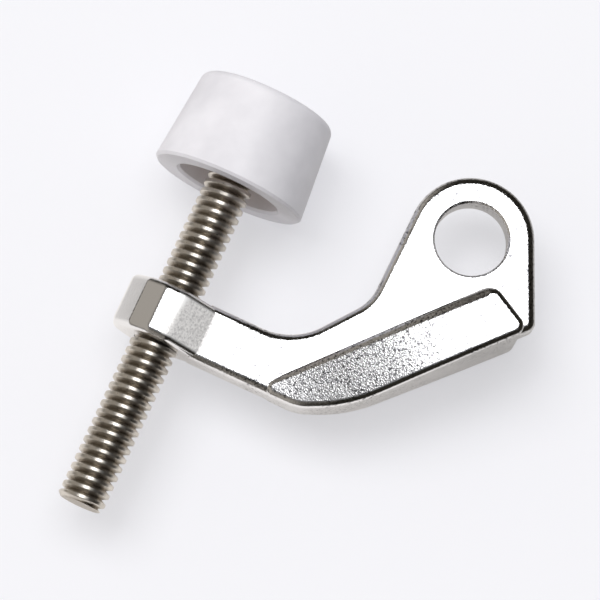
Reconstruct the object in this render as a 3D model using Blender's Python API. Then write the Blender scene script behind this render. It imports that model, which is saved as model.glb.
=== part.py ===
"""Hinge-pin door stop: a cast arm that hangs on a hinge pin, and a rubber bumper on a threaded rod.

The origin is the centre of the hinge-pin hole, on the arm's mid-plane. +Z runs along the hole's axis.
The arm lies flat about the XY plane and is the same above and below it, so either face can be up.
The rod lies in the XY plane and turns in the threaded boss, which moves the bumper along it.
"""

import math

import bmesh
import bpy
import numpy as np
from mathutils import Matrix, Vector

MM = 0.001
PI = math.pi

# Arm: the eye round the hinge pin, and the plate between the eye and the bar.
PIN_HOLE_RADIUS = 4.76 * MM  # 3/8 in
PIN_HOLE_FLARE = 0.3 * MM
EYE_RADIUS = 8.2 * MM
EYE_HALF_THICKNESS = 2.15 * MM
BAR_HALF_THICKNESS = 2.9 * MM
TAPER_START_X = -9.0 * MM  # between these the plate thickens from the eye's to the bar's
TAPER_END_X = -28.5 * MM
PLATE_FILLET = 1.1 * MM
FLANK_ANGLE = math.radians(64.2)  # the plate's left edge, a tangent to the eye
SHOULDER_ANGLE = math.radians(28.1)
SHOULDER_OFFSET = -1.07 * MM  # of the shoulder's line from the hole's axis
SHOULDER_BEND = 6.1 * MM
THROAT_BEND = 8.6 * MM
HEEL_Y = -22.25 * MM
HEEL_BAR_BEND = 6.5 * MM
HEEL_WING_BEND = 20.2 * MM
CORNER_ROUNDING = 1.4 * MM
PLATE_STEP = 0.4 * MM  # of the plate's lower edge inside the wing's outer side

# Wing: the tall ridge along the lower edge, whose outer side bears on the door.
WING_ANGLE = math.radians(22.9)
BEARING_OFFSET = 14.3 * MM  # from the hole's axis to the bearing face
WING_INNER_OFFSET = 6.97 * MM  # from the hole's axis to the ridge's other side
WING_TIP_Z = 2.8 * MM  # half heights at the ramp's two ends
WING_TOP_Z = 7.85 * MM
WING_RAMP_RUN = 36.9 * MM
WING_RAMP_STEPS = 8
WING_RAMP_POWER = 1.3
WING_END_ANGLE = math.radians(-52.5)
WING_END_X = 7.0 * MM  # where the wing's end meets the bearing face
WING_NOSE_ROUNDING = 2.2 * MM
WING_TIP_ROUNDING = 1.2 * MM
WING_FILLET = 0.85 * MM
WING_STEP = 0.05 * MM  # of the ridge's side outside the bar's
WING_INNER_FILLET = 1.8 * MM

# Bar and threaded boss, square to the rod.
ROD_TILT = math.radians(24.6)  # of the rod from +Y
ROD_OFFSET = 31.3 * MM  # from the hole's axis to the rod's axis
BAR_ALONG_ROD = -25.75 * MM  # of the bar's and boss's middle from the hole's axis
BAR_WIDTH = 7.6 * MM
BAR_ROOT = 4.6 * MM  # the bar's end inside the boss, from the rod's axis
BOSS_LENGTH = 7.2 * MM
BOSS_OUTER_FLAT = (-6.2 * MM, 1.6 * MM)  # corners of the boss's upper half, from the rod's axis:
BOSS_SIDE_FLAT = (-4.0 * MM, 4.5 * MM)  # towards the bar, and up
BOSS_TOP_START = (-1.5 * MM, 5.9 * MM)
BOSS_TOP_END = (1.4 * MM, 5.9 * MM)
BOSS_RAMP_END = (6.2 * MM, 2.3 * MM)  # this one is inside the bar
BOSS_CORNER_ROUNDING = 1.3 * MM
BOSS_FILLET = 1.0 * MM

# Thread, 1/4-20 UNC.
THREAD_PITCH = 25.4 * MM / 20
THREAD_CREST_RADIUS = 3.12 * MM
THREAD_ROOT_RADIUS = 2.39 * MM
THREAD_CREST_WIDTH = THREAD_PITCH / 8
THREAD_CLEARANCE = 0.15 * MM
THREAD_SEGMENTS = 14
PROFILE_POINTS = 4  # of one turn: root, crest, crest, root
END_CHAMFER = 0.4 * MM

# Rod and bumper, along the rod from the middle of the boss.
ROD_TAIL = -26.4 * MM  # the rod's bare end
BUMPER_START = 18.7 * MM
ROD_SHOULDER = BUMPER_START + 2.5 * MM
TENON_RADIUS = 2.0 * MM
TENON_END = ROD_SHOULDER + 3.2 * MM
RIVET_RADIUS = 3.0 * MM
RIVET_THICKNESS = 1.0 * MM
DISC_START = ROD_SHOULDER + 0.3 * MM
DISC_THICKNESS = 1.6 * MM
DISC_RADIUS = 7.5 * MM
DISC_HOLE_RADIUS = TENON_RADIUS + 0.3 * MM
BUMPER_LENGTH = 12.9 * MM
BUMPER_RIM_RADIUS = 10.3 * MM
BUMPER_FACE_RADIUS = 9.25 * MM
BUMPER_EDGE = 1.2 * MM
BUMPER_LIP = 0.35 * MM
MOUTH_RADIUS = 6.9 * MM
GROOVE_RADIUS = DISC_RADIUS + 0.4 * MM
GROOVE_START = ROD_SHOULDER
GROOVE_END = DISC_START + DISC_THICKNESS + 0.35 * MM
POCKET_RADIUS = RIVET_RADIUS + 0.6 * MM
POCKET_END = TENON_END + 0.5 * MM

ROUND_SEGMENTS = 40
HOLE_SEGMENTS = 48
ARC_TOLERANCE = 0.02 * MM  # of an arc's chords from the arc
SAME_POINT = 0.05 * MM
FILLET_SEGMENTS = 3
SLAB_HEIGHT = 10 * MM  # of a slab before its heights are set

ROD_DIRECTION = Vector((math.sin(ROD_TILT), math.cos(ROD_TILT), 0))
BAR_DIRECTION = Vector((math.cos(ROD_TILT), -math.sin(ROD_TILT), 0))
BOSS_CENTRE = BAR_ALONG_ROD * ROD_DIRECTION - ROD_OFFSET * BAR_DIRECTION


def clear_scene():
    for obj in list(bpy.data.objects):
        bpy.data.objects.remove(obj, do_unlink=True)


def material(name, colour, metallic, roughness):
    made = bpy.data.materials.new(name)
    made.use_nodes = True
    shader = made.node_tree.nodes["Principled BSDF"]
    shader.inputs["Base Color"].default_value = (*colour, 1)
    shader.inputs["Metallic"].default_value = metallic
    shader.inputs["Roughness"].default_value = roughness
    return made


def new_object(name, mesh, parent=None):
    obj = bpy.data.objects.new(name, mesh)
    bpy.context.scene.collection.objects.link(obj)
    obj.parent = parent
    return obj


def mesh_from(bm, name):
    bmesh.ops.recalc_face_normals(bm, faces=bm.faces[:])
    if bm.calc_volume(signed=True) < 0:
        bmesh.ops.reverse_faces(bm, faces=bm.faces[:])
    mesh = bpy.data.meshes.new(name)
    bm.to_mesh(mesh)
    bm.free()
    return mesh


def hide_tool(obj):
    obj.hide_render = True
    obj.display_type = "WIRE"


def boolean(obj, operation, tool):
    modifier = obj.modifiers.new(operation.title() + "_" + tool.name, "BOOLEAN")
    modifier.operation = operation
    modifier.object = tool
    modifier.solver = "EXACT"
    hide_tool(tool)


def line(angle, offset):
    """A line in the plan as a point and a direction, its left side offset from the origin by that much."""
    direction = Vector((math.cos(angle), math.sin(angle)))
    return Vector((-direction.y, direction.x)) * offset, direction


def crossing(first, second):
    (p, d), (q, e) = first, second
    along = (q - p).cross(e) / d.cross(e)
    return p + along * d


def rounded(corners):
    """The outline through these (point, radius) corners, each one an arc in place of its corner."""
    outline = []
    for i, (corner, radius) in enumerate(corners):
        before = (corners[i - 1][0] - corner).normalized()
        after = (corners[(i + 1) % len(corners)][0] - corner).normalized()
        half = before.angle(after) / 2
        if not radius:
            outline.append(corner)
            continue
        centre = corner + (before + after).normalized() * radius / math.sin(half)
        start = corner + before * radius / math.tan(half) - centre
        sweep = (PI - 2 * half) * math.copysign(1, before.cross(after))
        steps = math.ceil(abs(sweep) / (2 * math.acos(1 - ARC_TOLERANCE / radius)))
        for step in range(steps + 1):
            outline.append(centre + Matrix.Rotation(-sweep * step / steps, 2) @ start)
    return [p for i, p in enumerate(outline) if (p - outline[i - 1]).length > SAME_POINT]


def outward(outline, i):
    """The unit normal of the counterclockwise outline at its point i, and its cosine to the side's."""
    before = (outline[i] - outline[i - 1]).normalized()
    after = (outline[(i + 1) % len(outline)] - outline[i]).normalized()
    normal = Vector((before.y + after.y, -before.x - after.x)).normalized()
    return normal, normal.dot(Vector((before.y, -before.x)))


def slab(outline, half_height, fillets):
    """A bmesh of the outline extruded up and down from z = 0, its rims rounded by each point's fillet."""
    bm = bmesh.new()
    rings = []
    turns = [PI / 2 * step / FILLET_SEGMENTS for step in range(FILLET_SEGMENTS + 1)]
    for side, steps in ((-1, reversed(turns)), (1, turns)):
        for turn in steps:
            ring = []
            for i, fillet in enumerate(fillets):
                normal, mitre = outward(outline, i)
                point = outline[i] - normal * fillet * (1 - math.cos(turn)) / mitre
                z = side * (half_height - fillet * (1 - math.sin(turn)))
                ring.append(bm.verts.new((point.x, point.y, z)))
            rings.append(ring)
    bm.faces.new(reversed(rings[0]))
    bm.faces.new(rings[-1])
    for low, high in zip(rings, rings[1:]):
        for i in range(len(outline)):
            bm.faces.new((low[i - 1], low[i], high[i], high[i - 1]))
    return bm


def set_heights(bm, origin, direction, stations, heights):
    """Brings the slab's two faces to these half heights at these distances along the direction."""
    for station in stations:
        everything = bm.verts[:] + bm.edges[:] + bm.faces[:]
        point = origin + direction * station
        bmesh.ops.bisect_plane(bm, geom=everything, plane_co=point, plane_no=direction)
    for vert in bm.verts:
        height = float(np.interp((vert.co - origin).dot(direction), stations, heights))
        vert.co.z = math.copysign(height - (SLAB_HEIGHT - abs(vert.co.z)), vert.co.z)


def bearing_line(step=0):
    return line(WING_ANGLE, step - BEARING_OFFSET)


def inner_line():
    return line(WING_ANGLE, -WING_INNER_OFFSET)


def bar_line(side, step=0):
    """The bar's side towards the bumper for +1, or the other for -1, or a line this far outside it."""
    return line(-ROD_TILT, BAR_ALONG_ROD + side * (BAR_WIDTH / 2 + step))


def plate_outline():
    """The arm's outline seen along the hole: eye, flank, bar, heel, bearing face, right edge."""
    level = line(0, HEEL_Y + PLATE_STEP)
    bearing = bearing_line(PLATE_STEP)
    flank = line(FLANK_ANGLE, EYE_RADIUS)
    shoulder = line(SHOULDER_ANGLE, SHOULDER_OFFSET)
    right_edge = line(PI / 2, -EYE_RADIUS)
    bar_end = line(PI / 2 - ROD_TILT, ROD_OFFSET - BAR_ROOT)
    eye_top = line(0, EYE_RADIUS)
    corners = [
        (crossing(right_edge, eye_top), EYE_RADIUS),
        (crossing(eye_top, flank), EYE_RADIUS),
        (crossing(flank, shoulder), SHOULDER_BEND),
        (crossing(shoulder, bar_line(1)), THROAT_BEND),
        (crossing(bar_line(1), bar_end), 0),
        (crossing(bar_line(-1), bar_end), 0),
        (crossing(bar_line(-1), level), HEEL_BAR_BEND),
        (crossing(level, bearing), HEEL_WING_BEND),
        (crossing(bearing, right_edge), CORNER_ROUNDING),
    ]
    return rounded(corners)


def plate():
    """The plate, thin at the eye and thicker towards the bar."""
    outline = plate_outline()
    bm = slab(outline, SLAB_HEIGHT, [PLATE_FILLET] * len(outline))
    stations = (-TAPER_START_X, -TAPER_END_X)
    heights = (EYE_HALF_THICKNESS, BAR_HALF_THICKNESS)
    set_heights(bm, Vector(), Vector((-1, 0, 0)), stations, heights)
    return new_object("arm", mesh_from(bm, "arm"))


def wing_outline():
    """The ridge seen along the hole, from its tip on the heel to its blunt end by the eye."""
    level = line(0, HEEL_Y)
    side = bar_line(-1, WING_STEP)
    end_point = crossing(bearing_line(), (Vector((WING_END_X, 0)), Vector((0, 1))))
    end = (end_point, Vector((math.cos(WING_END_ANGLE), math.sin(WING_END_ANGLE))))
    corners = [
        (crossing(inner_line(), end), WING_NOSE_ROUNDING),
        (crossing(inner_line(), side), WING_TIP_ROUNDING),
        (crossing(side, level), HEEL_BAR_BEND),
        (crossing(level, bearing_line()), HEEL_WING_BEND),
        (end_point, CORNER_ROUNDING),
    ]
    return rounded(corners)


def wing_fillets(outline, tip, direction):
    """Small fillets, but a broad one on the side that faces the eye, growing from the tip."""
    facing_eye = Vector((-direction.y, direction.x))
    fillets = []
    for i, point in enumerate(outline):
        facing = max(0, outward(outline, i)[0].dot(facing_eye)) ** 4
        share = min(1, max(0, (point - tip).dot(direction) / WING_RAMP_RUN))
        fillets.append(WING_FILLET + (WING_INNER_FILLET - WING_FILLET) * facing * share)
    return fillets


def wing():
    """The ridge, which rises from its tip the same way above and below the plate."""
    outline = wing_outline()
    tip = crossing(inner_line(), bar_line(-1))
    direction = bearing_line()[1]
    bm = slab(outline, SLAB_HEIGHT, wing_fillets(outline, tip, direction))
    shares = [step / WING_RAMP_STEPS for step in range(WING_RAMP_STEPS + 1)]
    rises = [math.sin(PI / 2 * share) ** WING_RAMP_POWER for share in shares]
    heights = [WING_TIP_Z + (WING_TOP_Z - WING_TIP_Z) * rise for rise in rises]
    stations = [WING_RAMP_RUN * share for share in shares]
    set_heights(bm, tip.to_3d(), direction.to_3d(), stations, heights)
    return new_object("wing_shape", mesh_from(bm, "wing_shape"))


def boss(rod_frame):
    """The faceted boss round the rod, which ramps down to the bar."""
    upper = (BOSS_OUTER_FLAT, BOSS_SIDE_FLAT, BOSS_TOP_START, BOSS_TOP_END, BOSS_RAMP_END)
    lower = [(x, -y) for x, y in upper]
    corners = [Vector(point) for point in (*lower, *reversed(upper))]
    outline = rounded([(corner, BOSS_CORNER_ROUNDING) for corner in corners])
    bm = slab(outline, BOSS_LENGTH / 2, [BOSS_FILLET] * len(outline))
    return new_object("boss_shape", mesh_from(bm, "boss_shape"), rod_frame)


def turned(profile, segments):
    """A closed solid turned round Z from (radius, z) points. A radius of 0 is a point on the axis."""
    bm = bmesh.new()
    rings = []
    for radius, z in profile:
        if radius:
            angles = [2 * PI * i / segments for i in range(segments)]
            points = [(radius * math.cos(angle), radius * math.sin(angle), z) for angle in angles]
        else:
            points = [(0, 0, z)]
        rings.append([bm.verts.new(point) for point in points])
    loops = list(zip(rings, rings[1:]))
    if profile[0][0] and profile[-1][0]:
        loops.append((rings[-1], rings[0]))
    for low, high in loops:
        for i in range(segments):
            j = (i + 1) % segments
            corners = [low[i % len(low)], low[j % len(low)]]
            corners += [high[j % len(high)], high[i % len(high)]]
            bm.faces.new(list(dict.fromkeys(corners)))
    return bm


def thread_mesh(name, low, high, clearance):
    """A screw-shaped solid round Z between these heights, larger all round by the clearance."""
    crest = THREAD_CREST_RADIUS + clearance
    root = THREAD_ROOT_RADIUS + clearance
    half_crest = THREAD_CREST_WIDTH / 2 + clearance / math.sqrt(3)
    half_tooth = half_crest + (crest - root) / math.sqrt(3)
    tooth = [(root, -half_tooth), (crest, -half_crest), (crest, half_crest), (root, half_tooth)]
    first = math.floor(low / THREAD_PITCH) - 1
    turns = math.ceil(high / THREAD_PITCH) + 1 - first
    rows = PROFILE_POINTS * turns
    bm = bmesh.new()
    columns = []
    for step in range(THREAD_SEGMENTS):
        angle = 2 * PI * step / THREAD_SEGMENTS
        extra = PROFILE_POINTS if step == 0 else 0
        column = []
        for row in range(rows + extra):
            radius, offset = tooth[row % PROFILE_POINTS]
            z = (first + row // PROFILE_POINTS + step / THREAD_SEGMENTS) * THREAD_PITCH + offset
            column.append(bm.verts.new((radius * math.cos(angle), radius * math.sin(angle), z)))
        columns.append(column)
    columns.append(columns[0][PROFILE_POINTS:])
    for left, right in zip(columns, columns[1:]):
        for row in range(rows - 1):
            bm.faces.new((left[row], right[row], right[row + 1], left[row + 1]))
    bottom = [column[0] for column in columns[:-1]] + columns[0][PROFILE_POINTS:0:-1]
    top = [column[rows - 1] for column in columns[:-1]]
    top += columns[0][rows + PROFILE_POINTS - 1:rows - 1:-1]
    last = first + turns
    for ring, z in ((bottom, (first - 1) * THREAD_PITCH), (top, (last + 1) * THREAD_PITCH)):
        hub = bm.verts.new((0, 0, z))
        for vert, after in zip(ring, ring[1:] + ring[:1]):
            bm.faces.new((vert, after, hub))
    return mesh_from(bm, name)


def arm(rod_frame):
    """The one casting: eye and plate, wing, bar and boss, with the pin hole and the threaded hole."""
    body = plate()
    boolean(body, "UNION", wing())
    boolean(body, "UNION", boss(rod_frame))
    half = EYE_HALF_THICKNESS
    flare = PIN_HOLE_RADIUS + PIN_HOLE_FLARE
    deep = half + MM
    bore = [(0, -deep), (flare + MM, -deep), (flare, -half)]
    bore.append((PIN_HOLE_RADIUS, -half + PIN_HOLE_FLARE))
    bore += [(radius, -z) for radius, z in reversed(bore)]
    pin_hole = mesh_from(turned(bore, HOLE_SEGMENTS), "pin_hole")
    boolean(body, "DIFFERENCE", new_object("pin_hole", pin_hole))
    thread_hole = thread_mesh("thread_hole", -BOSS_LENGTH, BOSS_LENGTH, THREAD_CLEARANCE)
    boolean(body, "DIFFERENCE", new_object("thread_hole", thread_hole, rod_frame))
    return body


def threaded_rod(rod_frame):
    """The rod: threaded from its bare end to the shoulder, with a riveted tenon that holds the disc."""
    stud = thread_mesh("threaded_rod", ROD_TAIL, TENON_END, 0)
    rod = new_object("threaded_rod", stud, rod_frame)
    outer = THREAD_CREST_RADIUS + MM
    chamfer_start = THREAD_CREST_RADIUS - END_CHAMFER
    rivet_start = TENON_END - RIVET_THICKNESS
    blank = [
        (0, ROD_TAIL),
        (chamfer_start, ROD_TAIL),
        (outer, ROD_TAIL + outer - chamfer_start),
        (outer, ROD_SHOULDER - outer + chamfer_start),
        (chamfer_start, ROD_SHOULDER),
        (0, ROD_SHOULDER),
    ]
    rod_blank = mesh_from(turned(blank, ROUND_SEGMENTS), "rod_blank")
    boolean(rod, "INTERSECT", new_object("rod_blank", rod_blank, rod_frame))
    end = [
        (0, ROD_SHOULDER - MM),
        (TENON_RADIUS, ROD_SHOULDER - MM),
        (TENON_RADIUS, rivet_start),
        (RIVET_RADIUS, rivet_start),
        (RIVET_RADIUS, rivet_start + RIVET_THICKNESS / 2),
        (RIVET_RADIUS * 0.7, TENON_END),
        (0, TENON_END),
    ]
    tenon = mesh_from(turned(end, ROUND_SEGMENTS // 2), "tenon")
    boolean(rod, "UNION", new_object("tenon", tenon, rod_frame))
    return rod


def head_disc(rod_frame):
    """The steel disc on the rod's end, which the bumper grips."""
    low, high = DISC_START, DISC_START + DISC_THICKNESS
    edge = DISC_THICKNESS / 4
    profile = [
        (DISC_HOLE_RADIUS, low),
        (DISC_RADIUS - edge, low),
        (DISC_RADIUS, low + edge),
        (DISC_RADIUS, high - edge),
        (DISC_RADIUS - edge, high),
        (DISC_HOLE_RADIUS, high),
    ]
    disc = mesh_from(turned(profile, ROUND_SEGMENTS), "head_disc")
    return new_object("head_disc", disc, rod_frame)


def bumper(rod_frame):
    """The rubber cap: a tapered outside, and a stepped hollow that snaps over the disc."""
    start, end = BUMPER_START, BUMPER_START + BUMPER_LENGTH
    profile = [
        (0, POCKET_END),
        (POCKET_RADIUS, POCKET_END),
        (POCKET_RADIUS, GROOVE_END),
        (GROOVE_RADIUS, GROOVE_END),
        (GROOVE_RADIUS, GROOVE_START),
        (MOUTH_RADIUS, GROOVE_START),
        (MOUTH_RADIUS, start + BUMPER_LIP),
        (MOUTH_RADIUS + BUMPER_LIP, start),
        (BUMPER_RIM_RADIUS - BUMPER_LIP, start),
        (BUMPER_RIM_RADIUS, start + BUMPER_LIP),
    ]
    for step in range(4):
        turn = PI / 2 * step / 3
        radius = BUMPER_FACE_RADIUS - BUMPER_EDGE * (1 - math.cos(turn))
        profile.append((radius, end - BUMPER_EDGE * (1 - math.sin(turn))))
    profile.append((0, end))
    cap = mesh_from(turned(profile, ROUND_SEGMENTS), "bumper")
    return new_object("bumper", cap, rod_frame)


def finish(obj, surface):
    """One material, smooth round faces, and crisp edges."""
    obj.data.materials.append(surface)
    obj.data.shade_smooth()
    obj.data.set_sharp_from_angle(angle=math.radians(35))


def main():
    clear_scene()
    rod_frame = new_object("rod_frame", None)
    axes = Matrix((BAR_DIRECTION, ROD_DIRECTION.cross(BAR_DIRECTION), ROD_DIRECTION)).transposed()
    rod_frame.matrix_world = Matrix.LocRotScale(BOSS_CENTRE, axes.to_quaternion(), None)
    finish(arm(rod_frame), material("chrome_casting", (0.80, 0.80, 0.82), 1.0, 0.12))
    finish(threaded_rod(rod_frame), material("plated_rod", (0.66, 0.62, 0.57), 1.0, 0.30))
    finish(head_disc(rod_frame), material("plain_disc", (0.56, 0.56, 0.57), 1.0, 0.35))
    finish(bumper(rod_frame), material("white_rubber", (0.82, 0.81, 0.84), 0.0, 0.45))


main()
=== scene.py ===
"""Looks of the hinge-pin door stop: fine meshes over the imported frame, materials, lights and camera."""

import math

import bmesh
import bpy
import numpy as np
from mathutils import Matrix, Vector


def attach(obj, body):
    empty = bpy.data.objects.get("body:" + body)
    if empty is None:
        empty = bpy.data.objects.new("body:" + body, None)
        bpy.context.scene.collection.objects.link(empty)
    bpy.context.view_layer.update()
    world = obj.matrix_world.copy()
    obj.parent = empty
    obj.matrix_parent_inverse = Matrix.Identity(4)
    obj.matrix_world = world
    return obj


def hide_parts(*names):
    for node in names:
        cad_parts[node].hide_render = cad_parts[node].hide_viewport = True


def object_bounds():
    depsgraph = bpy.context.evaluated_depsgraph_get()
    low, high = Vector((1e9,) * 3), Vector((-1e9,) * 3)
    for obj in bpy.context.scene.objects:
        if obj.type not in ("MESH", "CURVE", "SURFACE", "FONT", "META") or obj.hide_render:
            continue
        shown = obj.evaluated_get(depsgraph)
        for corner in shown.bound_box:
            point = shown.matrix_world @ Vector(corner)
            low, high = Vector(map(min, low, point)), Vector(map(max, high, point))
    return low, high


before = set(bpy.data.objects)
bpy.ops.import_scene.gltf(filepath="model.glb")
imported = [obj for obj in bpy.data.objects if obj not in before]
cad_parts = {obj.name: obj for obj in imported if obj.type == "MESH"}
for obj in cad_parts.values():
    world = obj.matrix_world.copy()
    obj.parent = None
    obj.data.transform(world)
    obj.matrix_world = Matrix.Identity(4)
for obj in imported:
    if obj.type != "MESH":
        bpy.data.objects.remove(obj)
cad_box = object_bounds()

MM = 0.001
PI = math.pi

# Arm: the eye round the hinge pin, and the plate between the eye and the bar.
PIN_HOLE_RADIUS = 4.76 * MM  # 3/8 in across
PIN_HOLE_FLARE = 0.3 * MM
EYE_RADIUS = 8.2 * MM
EYE_HALF_THICKNESS = 2.15 * MM
BAR_HALF_THICKNESS = 2.9 * MM
TAPER_START_X = -9.0 * MM  # between these the plate thickens from the eye's to the bar's
TAPER_END_X = -28.5 * MM
PLATE_FILLET = 1.1 * MM
FLANK_ANGLE = math.radians(64.2)  # the plate's left edge, a tangent to the eye
SHOULDER_ANGLE = math.radians(28.1)
SHOULDER_OFFSET = -1.07 * MM  # of the shoulder's line from the hole's axis
SHOULDER_BEND = 6.1 * MM
THROAT_BEND = 8.6 * MM
HEEL_Y = -22.25 * MM
HEEL_BAR_BEND = 6.5 * MM
HEEL_WING_BEND = 20.2 * MM
CORNER_ROUNDING = 1.4 * MM
PLATE_STEP = 0.4 * MM  # of the plate's lower edge inside the wing's outer side

# Wing: the tall ridge along the lower edge, whose outer side bears on the door.
WING_ANGLE = math.radians(22.9)
BEARING_OFFSET = 14.3 * MM  # from the hole's axis to the bearing face
WING_INNER_OFFSET = 6.97 * MM  # from the hole's axis to the ridge's other side
WING_TIP_Z = 2.8 * MM  # half heights at the ramp's two ends
WING_TOP_Z = 7.85 * MM
WING_RAMP_RUN = 36.9 * MM
WING_RAMP_STEPS = 36
WING_RAMP_POWER = 1.3
WING_END_ANGLE = math.radians(-52.5)
WING_END_X = 7.0 * MM  # where the wing's end meets the bearing face
WING_NOSE_ROUNDING = 2.2 * MM
WING_TIP_ROUNDING = 1.2 * MM
WING_FILLET = 0.85 * MM
WING_STEP = 0.05 * MM  # of the ridge's side outside the bar's
WING_INNER_FILLET = 1.8 * MM
WING_FACING_POWER = 4  # higher, the broad fillet fades sooner round the ends

# Bar and threaded boss, square to the rod.
ROD_TILT = math.radians(24.6)  # of the rod from +Y
ROD_OFFSET = 31.3 * MM  # from the hole's axis to the rod's axis
BAR_ALONG_ROD = -25.75 * MM  # of the bar's and boss's middle from the hole's axis
BAR_WIDTH = 7.6 * MM
BAR_ROOT = 4.6 * MM  # the bar's end inside the boss, from the rod's axis
BOSS_LENGTH = 7.2 * MM
BOSS_OUTER_FLAT = (-6.2 * MM, 1.6 * MM)  # corners of the boss's upper half, from the rod's axis:
BOSS_SIDE_FLAT = (-4.0 * MM, 4.5 * MM)  # towards the bar, and up
BOSS_TOP_START = (-1.5 * MM, 5.9 * MM)
BOSS_TOP_END = (1.4 * MM, 5.9 * MM)
BOSS_RAMP_END = (6.2 * MM, 2.3 * MM)  # this one is inside the bar
BOSS_CORNER_ROUNDING = 1.3 * MM
BOSS_FILLET = 1.0 * MM

# Thread, 1/4-20 UNC.
THREAD_PITCH = 25.4 * MM / 20
THREAD_CREST_RADIUS = 3.12 * MM
THREAD_ROOT_RADIUS = 2.39 * MM
THREAD_CLEARANCE = 0.15 * MM
THREAD_SEGMENTS = 48
TOOTH_POINTS = 20  # across one turn of the thread
TOOTH_SHARPNESS = 0.65  # under 1, the crests are broader than the roots
TOOTH_TRUNCATION = 1.25  # over 1, the crests are flat
END_CHAMFER = 0.4 * MM

# Rod and bumper, along the rod from the middle of the boss.
ROD_TAIL = -26.4 * MM  # the rod's bare end
BUMPER_START = 18.7 * MM
ROD_SHOULDER = BUMPER_START + 2.5 * MM
TENON_RADIUS = 2.0 * MM
TENON_END = ROD_SHOULDER + 3.2 * MM
RIVET_RADIUS = 3.0 * MM
RIVET_TOP_RADIUS = RIVET_RADIUS * 0.7
RIVET_THICKNESS = 1.0 * MM
DISC_START = ROD_SHOULDER + 0.3 * MM
DISC_THICKNESS = 1.6 * MM
DISC_RADIUS = 7.5 * MM
DISC_HOLE_RADIUS = TENON_RADIUS + 0.3 * MM
BUMPER_LENGTH = 12.9 * MM
BUMPER_RIM_RADIUS = 10.3 * MM
BUMPER_FACE_RADIUS = 9.25 * MM
BUMPER_EDGE = 1.2 * MM
BUMPER_LIP = 0.35 * MM
MOUTH_RADIUS = 6.9 * MM
GROOVE_RADIUS = DISC_RADIUS + 0.4 * MM
GROOVE_START = ROD_SHOULDER
GROOVE_END = DISC_START + DISC_THICKNESS + 0.35 * MM
POCKET_RADIUS = RIVET_RADIUS + 0.6 * MM
POCKET_END = TENON_END + 0.5 * MM

ROUND_SEGMENTS = 160
HOLE_SEGMENTS = 160
ARC_TOLERANCE = 0.002 * MM  # of an arc's chords from the arc
SAME_POINT = 0.02 * MM
FILLET_SEGMENTS = 8
EDGE_STEPS = 12
SLAB_HEIGHT = 10 * MM  # half height of a slab before its heights are set

ROD_DIRECTION = Vector((math.sin(ROD_TILT), math.cos(ROD_TILT), 0))
BAR_DIRECTION = Vector((math.cos(ROD_TILT), -math.sin(ROD_TILT), 0))
BOSS_CENTRE = BAR_ALONG_ROD * ROD_DIRECTION - ROD_OFFSET * BAR_DIRECTION


def new_object(name, mesh, parent=None):
    """An object of this mesh in the scene, or an empty if there is none."""
    obj = bpy.data.objects.new(name, mesh)
    bpy.context.scene.collection.objects.link(obj)
    obj.parent = parent
    return obj


def mesh_from(bm, name):
    """The bmesh as a mesh, its faces turned outward."""
    bmesh.ops.recalc_face_normals(bm, faces=bm.faces[:])
    if bm.calc_volume(signed=True) < 0:
        bmesh.ops.reverse_faces(bm, faces=bm.faces[:])
    mesh = bpy.data.meshes.new(name)
    bm.to_mesh(mesh)
    bm.free()
    return mesh


def boolean(obj, operation, tool):
    """Adds the tool, cuts with it or keeps what lies in it, at once, and removes the tool."""
    modifier = obj.modifiers.new(operation, "BOOLEAN")
    modifier.operation = operation
    modifier.object = tool
    modifier.solver = "EXACT"
    depsgraph = bpy.context.evaluated_depsgraph_get()
    result = bpy.data.meshes.new_from_object(obj.evaluated_get(depsgraph))
    obj.modifiers.clear()
    obj.data = result
    bpy.data.objects.remove(tool)


def line(angle, offset):
    """A line in the plan as a point and a direction, its left side offset from the origin by that much."""
    direction = Vector((math.cos(angle), math.sin(angle)))
    return Vector((-direction.y, direction.x)) * offset, direction


def crossing(first, second):
    """The point where two lines cross."""
    (p, d), (q, e) = first, second
    distance = (q - p).cross(e) / d.cross(e)
    return p + distance * d


def rounded(corners):
    """The outline through these (point, radius) corners, each one an arc in place of its corner."""
    outline = []
    for i, (corner, radius) in enumerate(corners):
        before = (corners[i - 1][0] - corner).normalized()
        after = (corners[(i + 1) % len(corners)][0] - corner).normalized()
        half = before.angle(after) / 2
        if not radius:
            outline.append(corner)
            continue
        centre = corner + (before + after).normalized() * radius / math.sin(half)
        start = corner + before * radius / math.tan(half) - centre
        sweep = (PI - 2 * half) * math.copysign(1, before.cross(after))
        steps = math.ceil(abs(sweep) / (2 * math.acos(1 - ARC_TOLERANCE / radius)))
        for step in range(steps + 1):
            outline.append(centre + Matrix.Rotation(-sweep * step / steps, 2) @ start)
    return [p for i, p in enumerate(outline) if (p - outline[i - 1]).length > SAME_POINT]


def outward(outline, i):
    """The unit normal of the counterclockwise outline at its point i, and its cosine to the side's."""
    before = (outline[i] - outline[i - 1]).normalized()
    after = (outline[(i + 1) % len(outline)] - outline[i]).normalized()
    normal = Vector((before.y + after.y, -before.x - after.x)).normalized()
    return normal, normal.dot(Vector((before.y, -before.x)))


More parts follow.
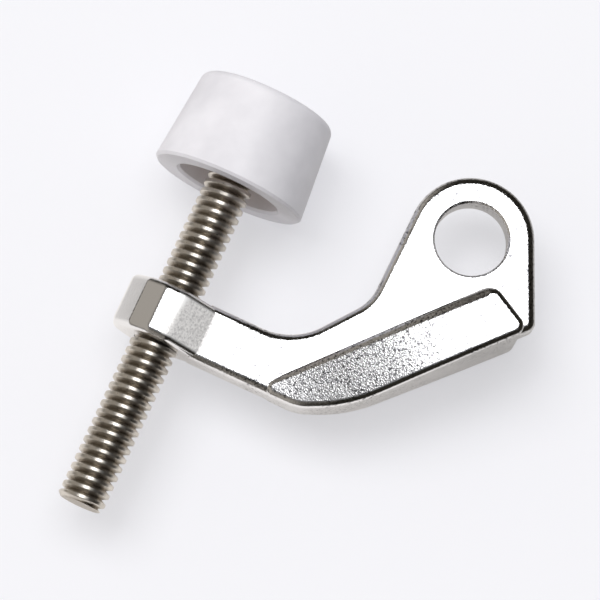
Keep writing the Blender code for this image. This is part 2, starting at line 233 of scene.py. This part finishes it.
def slab(outline, half_height, fillets):
    """A bmesh of the outline extruded up and down from z = 0, its rims rounded by each point's fillet."""
    bm = bmesh.new()
    rings = []
    turns = [PI / 2 * step / FILLET_SEGMENTS for step in range(FILLET_SEGMENTS + 1)]
    for side, steps in ((-1, reversed(turns)), (1, turns)):
        for turn in steps:
            ring = []
            for i, fillet in enumerate(fillets):
                normal, mitre = outward(outline, i)
                point = outline[i] - normal * fillet * (1 - math.cos(turn)) / mitre
                z = side * (half_height - fillet * (1 - math.sin(turn)))
                ring.append(bm.verts.new((point.x, point.y, z)))
            rings.append(ring)
    bm.faces.new(reversed(rings[0]))
    bm.faces.new(rings[-1])
    for low, high in zip(rings, rings[1:]):
        for i in range(len(outline)):
            bm.faces.new((low[i - 1], low[i], high[i], high[i - 1]))
    return bm


def set_heights(bm, origin, direction, stations, heights):
    """Brings the slab's two faces to these half heights at these distances along the direction."""
    for station in stations:
        everything = bm.verts[:] + bm.edges[:] + bm.faces[:]
        point = origin + direction * station
        bmesh.ops.bisect_plane(bm, geom=everything, plane_co=point, plane_no=direction)
    for vert in bm.verts:
        height = float(np.interp((vert.co - origin).dot(direction), stations, heights))
        vert.co.z = math.copysign(height - (SLAB_HEIGHT - abs(vert.co.z)), vert.co.z)


def bearing_line(step=0):
    """The wing's side on the door, or a line this far inside it."""
    return line(WING_ANGLE, step - BEARING_OFFSET)


def inner_line():
    """The wing's side towards the hole."""
    return line(WING_ANGLE, -WING_INNER_OFFSET)


def bar_line(side, step=0):
    """The bar's side towards the bumper for +1, or the other for -1, or a line this far outside it."""
    return line(-ROD_TILT, BAR_ALONG_ROD + side * (BAR_WIDTH / 2 + step))


def plate_outline():
    """The arm's outline seen along the hole: eye, flank, bar, heel, bearing face, right edge."""
    level = line(0, HEEL_Y + PLATE_STEP)
    bearing = bearing_line(PLATE_STEP)
    flank = line(FLANK_ANGLE, EYE_RADIUS)
    shoulder = line(SHOULDER_ANGLE, SHOULDER_OFFSET)
    right_edge = line(PI / 2, -EYE_RADIUS)
    bar_end = line(PI / 2 - ROD_TILT, ROD_OFFSET - BAR_ROOT)
    eye_top = line(0, EYE_RADIUS)
    corners = [
        (crossing(right_edge, eye_top), EYE_RADIUS),
        (crossing(eye_top, flank), EYE_RADIUS),
        (crossing(flank, shoulder), SHOULDER_BEND),
        (crossing(shoulder, bar_line(1)), THROAT_BEND),
        (crossing(bar_line(1), bar_end), 0),
        (crossing(bar_line(-1), bar_end), 0),
        (crossing(bar_line(-1), level), HEEL_BAR_BEND),
        (crossing(level, bearing), HEEL_WING_BEND),
        (crossing(bearing, right_edge), CORNER_ROUNDING),
    ]
    return rounded(corners)


def plate():
    """The plate, thin at the eye and thicker towards the bar."""
    outline = plate_outline()
    bm = slab(outline, SLAB_HEIGHT, [PLATE_FILLET] * len(outline))
    stations = (-TAPER_START_X, -TAPER_END_X)
    heights = (EYE_HALF_THICKNESS, BAR_HALF_THICKNESS)
    set_heights(bm, Vector(), Vector((-1, 0, 0)), stations, heights)
    return new_object("arm", mesh_from(bm, "arm"))


def wing_outline():
    """The ridge seen along the hole, from its tip on the heel to its blunt end by the eye."""
    level = line(0, HEEL_Y)
    side = bar_line(-1, WING_STEP)
    end_point = crossing(bearing_line(), (Vector((WING_END_X, 0)), Vector((0, 1))))
    end = (end_point, Vector((math.cos(WING_END_ANGLE), math.sin(WING_END_ANGLE))))
    corners = [
        (crossing(inner_line(), end), WING_NOSE_ROUNDING),
        (crossing(inner_line(), side), WING_TIP_ROUNDING),
        (crossing(side, level), HEEL_BAR_BEND),
        (crossing(level, bearing_line()), HEEL_WING_BEND),
        (end_point, CORNER_ROUNDING),
    ]
    return rounded(corners)


def wing_fillets(outline, tip, direction):
    """Small fillets, but a broad one on the side that faces the eye, growing from the tip."""
    facing_eye = Vector((-direction.y, direction.x))
    fillets = []
    for i, point in enumerate(outline):
        facing = max(0, outward(outline, i)[0].dot(facing_eye)) ** WING_FACING_POWER
        share = min(1, max(0, (point - tip).dot(direction) / WING_RAMP_RUN))
        fillets.append(WING_FILLET + (WING_INNER_FILLET - WING_FILLET) * facing * share)
    return fillets


def wing():
    """The ridge, which rises from its tip the same way above and below the plate."""
    outline = wing_outline()
    tip = crossing(inner_line(), bar_line(-1))
    direction = bearing_line()[1]
    bm = slab(outline, SLAB_HEIGHT, wing_fillets(outline, tip, direction))
    shares = [step / WING_RAMP_STEPS for step in range(WING_RAMP_STEPS + 1)]
    rises = [math.sin(PI / 2 * share) ** WING_RAMP_POWER for share in shares]
    heights = [WING_TIP_Z + (WING_TOP_Z - WING_TIP_Z) * rise for rise in rises]
    stations = [WING_RAMP_RUN * share for share in shares]
    set_heights(bm, tip.to_3d(), direction.to_3d(), stations, heights)
    return new_object("wing_shape", mesh_from(bm, "wing_shape"))


def boss(rod_frame):
    """The faceted boss round the rod, which ramps down to the bar."""
    upper = (BOSS_OUTER_FLAT, BOSS_SIDE_FLAT, BOSS_TOP_START, BOSS_TOP_END, BOSS_RAMP_END)
    lower = [(x, -y) for x, y in upper]
    corners = [Vector(point) for point in (*lower, *reversed(upper))]
    outline = rounded([(corner, BOSS_CORNER_ROUNDING) for corner in corners])
    bm = slab(outline, BOSS_LENGTH / 2, [BOSS_FILLET] * len(outline))
    return new_object("boss_shape", mesh_from(bm, "boss_shape"), rod_frame)


def turned(profile, segments):
    """A closed solid turned round Z from (radius, z) points. A radius of 0 is a point on the axis."""
    bm = bmesh.new()
    rings = []
    for radius, z in profile:
        if radius:
            angles = [2 * PI * i / segments for i in range(segments)]
            points = [(radius * math.cos(angle), radius * math.sin(angle), z) for angle in angles]
        else:
            points = [(0, 0, z)]
        rings.append([bm.verts.new(point) for point in points])
    loops = list(zip(rings, rings[1:]))
    if profile[0][0] and profile[-1][0]:
        loops.append((rings[-1], rings[0]))
    for low, high in loops:
        for i in range(segments):
            j = (i + 1) % segments
            corners = [low[i % len(low)], low[j % len(low)]]
            corners += [high[j % len(high)], high[i % len(high)]]
            bm.faces.new(list(dict.fromkeys(corners)))
    return bm


def thread_profile(clearance):
    """One tooth as (radius, z) points from root to root, its crest flat and its roots rounded."""
    depth = THREAD_CREST_RADIUS - THREAD_ROOT_RADIUS
    profile = []
    for step in range(TOOTH_POINTS):
        share = step / TOOTH_POINTS - 0.5
        rise = (0.5 + 0.5 * math.cos(2 * PI * share)) ** TOOTH_SHARPNESS
        rise = min(1.0, TOOTH_TRUNCATION * rise)
        profile.append((THREAD_ROOT_RADIUS + clearance + depth * rise, share * THREAD_PITCH))
    return profile


def thread_mesh(name, low, high, clearance):
    """A screw-shaped solid round Z that reaches past both heights, larger all round by the clearance."""
    tooth = thread_profile(clearance)
    count = len(tooth)
    first = math.floor(low / THREAD_PITCH) - 1
    turns = math.ceil(high / THREAD_PITCH) + 1 - first
    rows = count * turns
    bm = bmesh.new()
    columns = []
    for step in range(THREAD_SEGMENTS):
        angle = 2 * PI * step / THREAD_SEGMENTS
        extra = count if step == 0 else 0
        column = []
        for row in range(rows + extra):
            radius, offset = tooth[row % count]
            z = (first + row // count + step / THREAD_SEGMENTS) * THREAD_PITCH + offset
            column.append(bm.verts.new((radius * math.cos(angle), radius * math.sin(angle), z)))
        columns.append(column)
    columns.append(columns[0][count:])
    for left, right in zip(columns, columns[1:]):
        for row in range(rows - 1):
            bm.faces.new((left[row], right[row], right[row + 1], left[row + 1]))
    bottom = [column[0] for column in columns[:-1]] + columns[0][count:0:-1]
    top = [column[rows - 1] for column in columns[:-1]]
    top += columns[0][rows + count - 1:rows - 1:-1]
    last = first + turns
    for ring, z in ((bottom, (first - 1) * THREAD_PITCH), (top, (last + 1) * THREAD_PITCH)):
        hub = bm.verts.new((0, 0, z))
        for vert, after in zip(ring, ring[1:] + ring[:1]):
            bm.faces.new((vert, after, hub))
    return mesh_from(bm, name)


def arm(rod_frame):
    """The one casting: eye and plate, wing, bar and boss, with the pin hole and the threaded hole."""
    body = plate()
    boolean(body, "UNION", wing())
    boolean(body, "UNION", boss(rod_frame))
    half = EYE_HALF_THICKNESS
    flare = PIN_HOLE_RADIUS + PIN_HOLE_FLARE
    deep = half + MM
    bore = [(0, -deep), (flare + MM, -deep), (flare, -half)]
    bore.append((PIN_HOLE_RADIUS, -half + PIN_HOLE_FLARE))
    bore += [(radius, -z) for radius, z in reversed(bore)]
    pin_hole = mesh_from(turned(bore, HOLE_SEGMENTS), "pin_hole")
    boolean(body, "DIFFERENCE", new_object("pin_hole", pin_hole))
    thread_hole = thread_mesh("thread_hole", -BOSS_LENGTH, BOSS_LENGTH, THREAD_CLEARANCE)
    boolean(body, "DIFFERENCE", new_object("thread_hole", thread_hole, rod_frame))
    return body


def threaded_rod(rod_frame):
    """The rod: threaded from its bare end to the shoulder, with a riveted tenon that holds the disc."""
    stud = thread_mesh("threaded_rod", ROD_TAIL, TENON_END, 0)
    rod = new_object("threaded_rod", stud, rod_frame)
    outer = THREAD_CREST_RADIUS + MM
    chamfer_start = THREAD_CREST_RADIUS - END_CHAMFER
    rivet_start = TENON_END - RIVET_THICKNESS
    blank = [
        (0, ROD_TAIL),
        (chamfer_start, ROD_TAIL),
        (outer, ROD_TAIL + outer - chamfer_start),
        (outer, ROD_SHOULDER - outer + chamfer_start),
        (chamfer_start, ROD_SHOULDER),
        (0, ROD_SHOULDER),
    ]
    rod_blank = mesh_from(turned(blank, ROUND_SEGMENTS), "rod_blank")
    boolean(rod, "INTERSECT", new_object("rod_blank", rod_blank, rod_frame))
    end = [
        (0, ROD_SHOULDER - MM),
        (TENON_RADIUS, ROD_SHOULDER - MM),
        (TENON_RADIUS, rivet_start),
        (RIVET_RADIUS, rivet_start),
        (RIVET_RADIUS, rivet_start + RIVET_THICKNESS / 2),
        (RIVET_TOP_RADIUS, TENON_END),
        (0, TENON_END),
    ]
    tenon = mesh_from(turned(end, ROUND_SEGMENTS), "tenon")
    boolean(rod, "UNION", new_object("tenon", tenon, rod_frame))
    return rod


def head_disc(rod_frame):
    """The steel disc on the rod's end, which the bumper grips."""
    low, high = DISC_START, DISC_START + DISC_THICKNESS
    edge = DISC_THICKNESS / 4
    profile = [
        (DISC_HOLE_RADIUS, low),
        (DISC_RADIUS - edge, low),
        (DISC_RADIUS, low + edge),
        (DISC_RADIUS, high - edge),
        (DISC_RADIUS - edge, high),
        (DISC_HOLE_RADIUS, high),
    ]
    disc = mesh_from(turned(profile, ROUND_SEGMENTS), "head_disc")
    return new_object("head_disc", disc, rod_frame)


def bumper(rod_frame):
    """The rubber cap: a tapered outside, and a stepped hollow that snaps over the disc."""
    start, end = BUMPER_START, BUMPER_START + BUMPER_LENGTH
    profile = [
        (0, POCKET_END),
        (POCKET_RADIUS, POCKET_END),
        (POCKET_RADIUS, GROOVE_END),
        (GROOVE_RADIUS, GROOVE_END),
        (GROOVE_RADIUS, GROOVE_START),
        (MOUTH_RADIUS, GROOVE_START),
        (MOUTH_RADIUS, start + BUMPER_LIP),
        (MOUTH_RADIUS + BUMPER_LIP, start),
        (BUMPER_RIM_RADIUS - BUMPER_LIP, start),
        (BUMPER_RIM_RADIUS, start + BUMPER_LIP),
    ]
    for step in range(EDGE_STEPS + 1):
        turn = PI / 2 * step / EDGE_STEPS
        radius = BUMPER_FACE_RADIUS - BUMPER_EDGE * (1 - math.cos(turn))
        profile.append((radius, end - BUMPER_EDGE * (1 - math.sin(turn))))
    profile.append((0, end))
    cap = mesh_from(turned(profile, ROUND_SEGMENTS), "bumper")
    return new_object("bumper", cap, rod_frame)


# Looks: linear colours, places on the piece in its own metres, and noise scales per metre.
CHROME_COLOUR = (0.87, 0.87, 0.88)
PIT_COLOUR = (0.15, 0.15, 0.16)
FROST_DARK = (0.58, 0.57, 0.57)
FROST_LIGHT = (0.96, 0.95, 0.94)
# Painted highlight: white on the frosted ramp by the boss's crest.
PAINTED_HIGHLIGHT_COLOUR = (1.0, 1.0, 1.0)
FROST_START = BOSS_CENTRE + 0.2 * MM * BAR_DIRECTION
FROST_LENGTH = 6.0 * MM
FROST_HALF_WIDTH = 3.0 * MM
PAINTED_HIGHLIGHT_WIDTH = 1.2 * MM  # of the painted highlight, a white band by the boss's crest, measured aslant
PAINTED_HIGHLIGHT_DIRECTION = BAR_DIRECTION - 0.25 * ROD_DIRECTION
WING_MARGIN = 1.4 * MM  # of the wing's pitted top inside its outer side and heel
# Painted shade: the thread's roots are coloured darker than its crests.
THREAD_ROOT_SHADE = (0.38, 0.34, 0.29)
MOUTH_CENTRE = BOSS_CENTRE + (BUMPER_START + 2.0 * MM) * ROD_DIRECTION
# Painted shade: a darker pinkish tint on the rubber in and round the bumper's mouth.
MOUTH_SHADE_COLOUR = (0.80, 0.71, 0.67)

FLOOR_COLOUR = (0.44, 0.44, 0.46)
FLOOR_GLOW = (0.45, 0.45, 0.465)
FLOOR_SIZE = 2.4
FLOOR_GAP = 0.02 * MM  # between the floor and the part
MIRRORED_FAR = (0.04, 0.037, 0.03)  # the floor as the chrome mirrors it, far from the part and near
MIRRORED_NEAR = (0.74, 0.72, 0.71)
MIRRORED_GLOW_FAR = (0.0, 0.0, 0.0)
MIRRORED_GLOW_NEAR = (0.16, 0.155, 0.15)
BACKDROP_COLOUR = (0.90, 0.90, 0.94)
WALL_COLOUR = (0.022, 0.020, 0.016)
WINDOW_COLOUR = (0.38, 0.35, 0.31)
CEILING_COLOUR = (0.26, 0.26, 0.27)

CAMERA_BACK = Vector((-0.05, -0.17, 1))  # from the part to the camera
CAMERA_RIGHT = -22.10 * MM  # of the camera from the middle of the eye's top
CAMERA_UP = -7.84 * MM
CAMERA_DISTANCE = 643.5 * MM

SHARP_ANGLE = math.radians(30)  # edges over this stay sharp

# The sockets of a colour mix, which share their names with its sockets for numbers.
MIX_FACTOR = 0
MIX_FIRST = 6
MIX_SECOND = 7
MIX_RESULT = 2


def node(tree, kind, **inputs):
    """A new node with these values on its sockets, an underscore in a name standing for a space."""
    made = tree.nodes.new(kind)
    for name, value in inputs.items():
        made.inputs[name.replace("_", " ")].default_value = value
    return made


def connect(tree, shader, **outputs):
    """Links these outputs to the shader's sockets, an underscore in a name standing for a space."""
    for name, output in outputs.items():
        tree.links.new(output, shader.inputs[name.replace("_", " ")])


def new_material(name, colour, metallic, roughness):
    """A material of one plain colour, with its node tree and its shader."""
    made = bpy.data.materials.new(name)
    made.use_nodes = True
    tree = made.node_tree
    shader = tree.nodes["Principled BSDF"]
    shader.inputs["Base Color"].default_value = (*colour, 1)
    shader.inputs["Metallic"].default_value = metallic
    shader.inputs["Roughness"].default_value = roughness
    return made, tree, shader


def own_place(tree):
    """The place on the piece, in its own metres."""
    return tree.nodes.new("ShaderNodeTexCoord").outputs["Object"]


def noise(tree, scale, detail=4.0, roughness=0.55):
    """Noise fixed to the piece."""
    made = node(tree, "ShaderNodeTexNoise", Scale=scale, Detail=detail, Roughness=roughness)
    tree.links.new(own_place(tree), made.inputs["Vector"])
    return made.outputs["Fac"]


def ramp(tree, factor, low, high, start, end):
    """Maps the factor from low..high to start..end."""
    made = node(tree, "ShaderNodeMapRange", From_Min=low, From_Max=high, To_Min=start, To_Max=end)
    tree.links.new(factor, made.inputs["Value"])
    return made.outputs["Result"]


def blend_colours(tree, factor, first, second):
    """Mixes two colours, each one a plain colour or a node's output."""
    made = tree.nodes.new("ShaderNodeMix")
    made.data_type = "RGBA"
    for socket, colour in ((made.inputs[MIX_FIRST], first), (made.inputs[MIX_SECOND], second)):
        if isinstance(colour, tuple):
            socket.default_value = (*colour, 1)
        else:
            tree.links.new(colour, socket)
    tree.links.new(factor, made.inputs[MIX_FACTOR])
    return made.outputs[MIX_RESULT]


def clouded(tree, clouds, first, second):
    """Two colours that run into each other where the clouds do."""
    return blend_colours(tree, ramp(tree, clouds, 0.35, 0.65, 0.0, 1.0), first, second)


def bump(tree, height, strength, distance, normal=None):
    """The normal of a surface that stands out by this distance where the height is 1."""
    made = node(tree, "ShaderNodeBump", Strength=strength, Distance=distance)
    tree.links.new(height, made.inputs["Height"])
    if normal:
        tree.links.new(normal, made.inputs["Normal"])
    return made.outputs["Normal"]


def vector_math(tree, operation, first, second=None):
    """The outputs of a vector node that works on a node's output and, if given, a constant."""
    made = tree.nodes.new("ShaderNodeVectorMath")
    made.operation = operation
    tree.links.new(first, made.inputs[0])
    if second is not None:
        made.inputs[1].default_value = second
    return made.outputs


def near(tree, centre, inner, outer):
    """1 inside the inner radius from a point of the piece, falling to 0 at the outer one."""
    distance = vector_math(tree, "DISTANCE", own_place(tree), centre)["Value"]
    return ramp(tree, distance, inner, outer, 1.0, 0.0)


def along(tree, origin, direction, low, high):
    """0 up to this distance from the origin in this direction, rising to 1 at the higher one."""
    apart = vector_math(tree, "SUBTRACT", own_place(tree), origin)["Vector"]
    reach = vector_math(tree, "DOT_PRODUCT", apart, direction.normalized())["Value"]
    return ramp(tree, reach, low, high, 0.0, 1.0)


def off_axis(tree, origin, direction, low, high):
    """0 up to this distance from the axis, rising to 1 at the higher one."""
    apart = vector_math(tree, "SUBTRACT", own_place(tree), origin)["Vector"]
    cross = vector_math(tree, "CROSS_PRODUCT", apart, direction)["Vector"]
    distance = vector_math(tree, "LENGTH", cross)["Value"]
    return ramp(tree, distance, low, high, 0.0, 1.0)


def calculate(tree, operation, first, second):
    """The result of this operation on two values, each one a plain number or a node's output."""
    made = tree.nodes.new("ShaderNodeMath")
    made.operation = operation
    for socket, value in zip(made.inputs, (first, second)):
        if isinstance(value, float):
            socket.default_value = value
        else:
            tree.links.new(value, socket)
    return made.outputs["Value"]


def frosted_ramp(tree):
    """1 on the boss's slope to the bar, in the middle of its length, and 0 elsewhere."""
    start = along(tree, FROST_START, BAR_DIRECTION, 0.0, 0.2 * MM)
    end = along(tree, FROST_START, BAR_DIRECTION, FROST_LENGTH - 0.6 * MM, FROST_LENGTH)
    mask = calculate(tree, "SUBTRACT", start, end)
    for direction in (ROD_DIRECTION, -ROD_DIRECTION):
        side = along(tree, BOSS_CENTRE, direction, FROST_HALF_WIDTH - 0.4 * MM, FROST_HALF_WIDTH)
        mask = calculate(tree, "SUBTRACT", mask, side)
    return calculate(tree, "MAXIMUM", mask, 0.0)


def wing_top(tree):
    """1 on the wing's upper ramp inside its outer side and heel, fading towards its blunt end."""
    up = Vector((0, 0, 1))
    mask = along(tree, Vector(), up, EYE_HALF_THICKNESS + 0.2 * MM, EYE_HALF_THICKNESS + 0.6 * MM)
    past_boss = along(tree, BOSS_CENTRE, BAR_DIRECTION, 8.0 * MM, 9.0 * MM)
    inward = Vector((-math.sin(WING_ANGLE), math.cos(WING_ANGLE), 0))
    off_bearing = WING_MARGIN - BEARING_OFFSET
    off_bearing = along(tree, Vector(), inward, off_bearing - 0.3 * MM, off_bearing)
    off_heel = HEEL_Y + WING_MARGIN
    off_heel = along(tree, Vector(), Vector((0, 1, 0)), off_heel - 0.3 * MM, off_heel)
    for limit in (past_boss, off_bearing, off_heel):
        mask = calculate(tree, "MULTIPLY", mask, limit)
    blunt_end = along(tree, BOSS_CENTRE, Vector((1, 0, 0)), 33.0 * MM, 46.0 * MM)
    return calculate(tree, "SUBTRACT", mask, blunt_end)


def chrome():
    """Bright plate over a casting: a slow ripple, a fine grain, pits in patches, and a frosted ramp with a
    painted highlight by the boss's crest.
    """
    made, tree, shader = new_material("chrome", (0.80, 0.80, 0.82), 1.0, 0.08)
    grain = noise(tree, 5200, 2.0, 0.6)
    specks = noise(tree, 3000, 3.0, 0.7)
    ripple = noise(tree, 260, 2.0, 0.5)
    patches = noise(tree, 150, 3.0, 0.6)
    frost = frosted_ramp(tree)
    past_boss = along(tree, BOSS_CENTRE, BAR_DIRECTION, 7.0 * MM, 10.0 * MM)
    worn = calculate(tree, "MULTIPLY", past_boss, ramp(tree, patches, 0.44, 0.54, 0.0, 1.0))
    pitted = calculate(tree, "MAXIMUM", worn, wing_top(tree))
    pits = calculate(tree, "MULTIPLY", pitted, ramp(tree, specks, 0.53, 0.60, 0.0, 1.0))
    polished = blend_colours(tree, pits, CHROME_COLOUR, PIT_COLOUR)
    frosted = blend_colours(tree, ramp(tree, specks, 0.35, 0.60, 0.0, 1.0), FROST_DARK, FROST_LIGHT)
    # Painted highlight: the frosted ramp turns white near the boss's crest.
    past_painted_highlight = along(
        tree, FROST_START, PAINTED_HIGHLIGHT_DIRECTION, PAINTED_HIGHLIGHT_WIDTH - 0.5 * MM, PAINTED_HIGHLIGHT_WIDTH
    )
    frosted = blend_colours(tree, past_painted_highlight, PAINTED_HIGHLIGHT_COLOUR, frosted)
    rough_grain = calculate(tree, "MULTIPLY", grain, ramp(tree, pitted, 0.0, 1.0, 0.40, 0.50))
    normal = bump(tree, ripple, 0.06, 0.3 * MM)
    connect(
        tree,
        shader,
        Base_Color=blend_colours(tree, frost, polished, frosted),
        Metallic=ramp(tree, frost, 0.0, 1.0, 1.0, 0.1),
        Roughness=ramp(tree, frost, 0.0, 1.0, 0.07, 0.40),
        Normal=bump(tree, rough_grain, 0.8, 0.07 * MM, normal),
    )
    return made


def plated_thread():
    """Nickel on a rolled thread: warmer than the arm, with painted shade in its roots."""
    made, tree, shader = new_material("plated_thread", (0.60, 0.57, 0.51), 1.0, 0.3)
    grain = noise(tree, 3200, 4.0, 0.6)
    patches = noise(tree, 500, 3.0, 0.6)
    crest_colour = clouded(tree, patches, (0.56, 0.53, 0.48), (0.76, 0.72, 0.66))
    # Painted shade: the colour darkens from the crests down into the roots.
    crest = THREAD_CREST_RADIUS - 0.30 * MM
    height = off_axis(tree, BOSS_CENTRE, ROD_DIRECTION, THREAD_ROOT_RADIUS, crest)
    connect(
        tree,
        shader,
        Base_Color=blend_colours(tree, height, THREAD_ROOT_SHADE, crest_colour),
        Roughness=ramp(tree, grain, 0.3, 0.7, 0.26, 0.38),
        Normal=bump(tree, grain, 0.4, 0.05 * MM),
    )
    return made


def plain_steel():
    """Stamped steel, dull and mottled under a film of pale grease."""
    made, tree, shader = new_material("plain_steel", (0.70, 0.65, 0.62), 0.35, 0.4)
    patches = noise(tree, 700, 4.0, 0.6)
    connect(
        tree,
        shader,
        Base_Color=clouded(tree, patches, (0.66, 0.61, 0.58), (0.82, 0.77, 0.74)),
        Roughness=ramp(tree, patches, 0.3, 0.7, 0.30, 0.50),
        Normal=bump(tree, noise(tree, 3000), 0.3, 0.04 * MM),
    )
    return made


def rubber():
    """Moulded white rubber: soft gloss, faint clouding, a fine skin, and painted shade inside round the
    disc.
    """
    made, tree, shader = new_material("rubber", (0.74, 0.73, 0.76), 0.0, 0.4)
    clouds = noise(tree, 180, 3.0, 0.5)
    skin = noise(tree, 2400, 3.0, 0.6)
    clean = clouded(tree, clouds, (0.71, 0.70, 0.74), (0.79, 0.78, 0.82))
    # Painted shade: the rubber turns darker and pinker inside the mouth.
    mouth_shade = near(tree, MOUTH_CENTRE, MOUTH_RADIUS - 0.6 * MM, MOUTH_RADIUS + 0.4 * MM)
    connect(
        tree,
        shader,
        Base_Color=blend_colours(tree, mouth_shade, clean, MOUTH_SHADE_COLOUR),
        Roughness=ramp(tree, skin, 0.3, 0.7, 0.36, 0.46),
        Normal=bump(tree, skin, 0.2, 0.03 * MM),
    )
    return made


def finish(obj, node_name, body, surface):
    """Places the fine piece in the frame in the place of its CAD node."""
    obj.name = node_name + "_fine"
    obj.data.materials.clear()
    obj.data.materials.append(surface)
    obj.data.shade_smooth()
    obj.data.set_sharp_from_angle(angle=SHARP_ANGLE)
    world = obj.matrix_world.copy()
    obj.parent = None
    obj.data.transform(world)
    obj.matrix_world = Matrix.Identity(4)
    weighted = obj.modifiers.new("WeightedNormal", "WEIGHTED_NORMAL")
    weighted.weight = 100
    weighted.keep_sharp = True
    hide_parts(node_name)
    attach(obj, body)


def pieces():
    """All four pieces, made along the rod or the hole's axis and then placed in the frame."""
    rod_frame = new_object("rod_frame", None)
    axes = Matrix((BAR_DIRECTION, ROD_DIRECTION.cross(BAR_DIRECTION), ROD_DIRECTION)).transposed()
    rod_frame.matrix_world = Matrix.LocRotScale(BOSS_CENTRE, axes.to_quaternion(), None)
    bpy.context.view_layer.update()
    makers = (
        (arm, "arm", "arm", chrome()),
        (threaded_rod, "threaded_rod", "screw", plated_thread()),
        (head_disc, "head_disc", "screw", plain_steel()),
        (bumper, "bumper", "bumper", rubber()),
    )
    for make, node_name, body, surface in makers:
        piece = make(rod_frame)
        bpy.context.view_layer.update()
        finish(piece, node_name, body, surface)
    bpy.data.objects.remove(rod_frame)


def floor():
    """A pale floor, glowing a little. What the chrome mirrors of it darkens away from the part."""
    made, tree, shader = new_material("floor", FLOOR_COLOUR, 0.0, 0.9)
    shader.inputs["Specular IOR Level"].default_value = 0.0
    shader.inputs["Emission Strength"].default_value = 1.0
    middle = (cad_box[0] + cad_box[1]) / 2
    lit = near(tree, (middle.x - 20 * MM, middle.y - 30 * MM, 0), 40 * MM, 110 * MM)
    path = tree.nodes.new("ShaderNodeLightPath")
    mirrored = blend_colours(tree, lit, MIRRORED_FAR, MIRRORED_NEAR)
    mirrored_glow = blend_colours(tree, lit, MIRRORED_GLOW_FAR, MIRRORED_GLOW_NEAR)
    connect(
        tree,
        shader,
        Base_Color=blend_colours(tree, path.outputs["Is Glossy Ray"], FLOOR_COLOUR, mirrored),
        Emission_Color=blend_colours(tree, path.outputs["Is Glossy Ray"], FLOOR_GLOW, mirrored_glow),
    )
    bpy.ops.mesh.primitive_plane_add(size=FLOOR_SIZE, location=(0, 0, cad_box[0].z - FLOOR_GAP))
    plane = bpy.context.object
    plane.name = "floor"
    plane.data.materials.append(made)


def softbox(direction, distance, diameter, radiance):
    """A round softbox that faces the part."""
    data = bpy.data.lights.new("softbox", "AREA")
    data.shape = "DISK"
    data.size = diameter
    data.energy = radiance * PI * PI * diameter * diameter / 4
    light = bpy.data.objects.new("softbox", data)
    bpy.context.scene.collection.objects.link(light)
    light.location = Vector(direction).normalized() * distance
    light.rotation_mode = "QUATERNION"
    light.rotation_quaternion = (-light.location).to_track_quat("-Z", "Y")


def unmirrored_light(name, direction, angle, irradiance):
    """Far light from round this direction that the chrome doesn't mirror."""
    data = bpy.data.lights.new(name, "SUN")
    data.energy = irradiance
    data.angle = math.radians(angle)
    light = bpy.data.objects.new(name, data)
    bpy.context.scene.collection.objects.link(light)
    light.rotation_mode = "QUATERNION"
    light.rotation_quaternion = (-Vector(direction)).to_track_quat("-Z", "Y")
    light.visible_glossy = False


def studio():
    """A dark room with a window to one side and a paler ceiling. The camera sees a pale backdrop."""
    world = bpy.data.worlds.new("studio")
    bpy.context.scene.world = world
    world.use_nodes = True
    tree = world.node_tree
    background = tree.nodes["Background"]
    place = tree.nodes.new("ShaderNodeTexCoord")
    split = tree.nodes.new("ShaderNodeSeparateXYZ")
    tree.links.new(place.outputs["Generated"], split.inputs[0])
    ceiling = ramp(tree, split.outputs["Z"], 0.86, 0.96, 0.0, 1.0)
    window = ramp(tree, split.outputs["X"], -0.60, -0.20, 1.0, 0.0)
    walls = blend_colours(tree, window, WALL_COLOUR, WINDOW_COLOUR)
    room = blend_colours(tree, ceiling, walls, CEILING_COLOUR)
    path = tree.nodes.new("ShaderNodeLightPath")
    seen = blend_colours(tree, path.outputs["Is Camera Ray"], room, BACKDROP_COLOUR)
    tree.links.new(seen, background.inputs["Color"])


def camera():
    """A long lens almost square to the arm, as far away as frames it."""
    back = CAMERA_BACK.normalized()
    right = Vector((0, 1, 0)).cross(back).normalized()
    up = back.cross(right)
    data = bpy.data.cameras.new("camera")
    data.lens = 300
    data.sensor_width = 36
    data.clip_start = 0.01
    data.clip_end = 10
    made = bpy.data.objects.new("camera", data)
    bpy.context.scene.collection.objects.link(made)
    place = Vector((0, 0, EYE_HALF_THICKNESS)) + CAMERA_RIGHT * right + CAMERA_UP * up
    place += CAMERA_DISTANCE * back
    made.matrix_world = Matrix.Translation(place) @ Matrix((right, up, back)).transposed().to_4x4()
    bpy.context.scene.camera = made


def main():
    pieces()
    floor()
    softbox(direction=(0.02, 0.20, 1), distance=1.0, diameter=0.56, radiance=4.0)
    unmirrored_light("fill", direction=(0, 0, 1), angle=150, irradiance=1.0)
    unmirrored_light("key", direction=(-0.36, 0.32, 1), angle=30, irradiance=1.2)
    studio()
    camera()
    bpy.context.scene.view_settings.view_transform = "Standard"
    bpy.context.view_layer.update()


main()
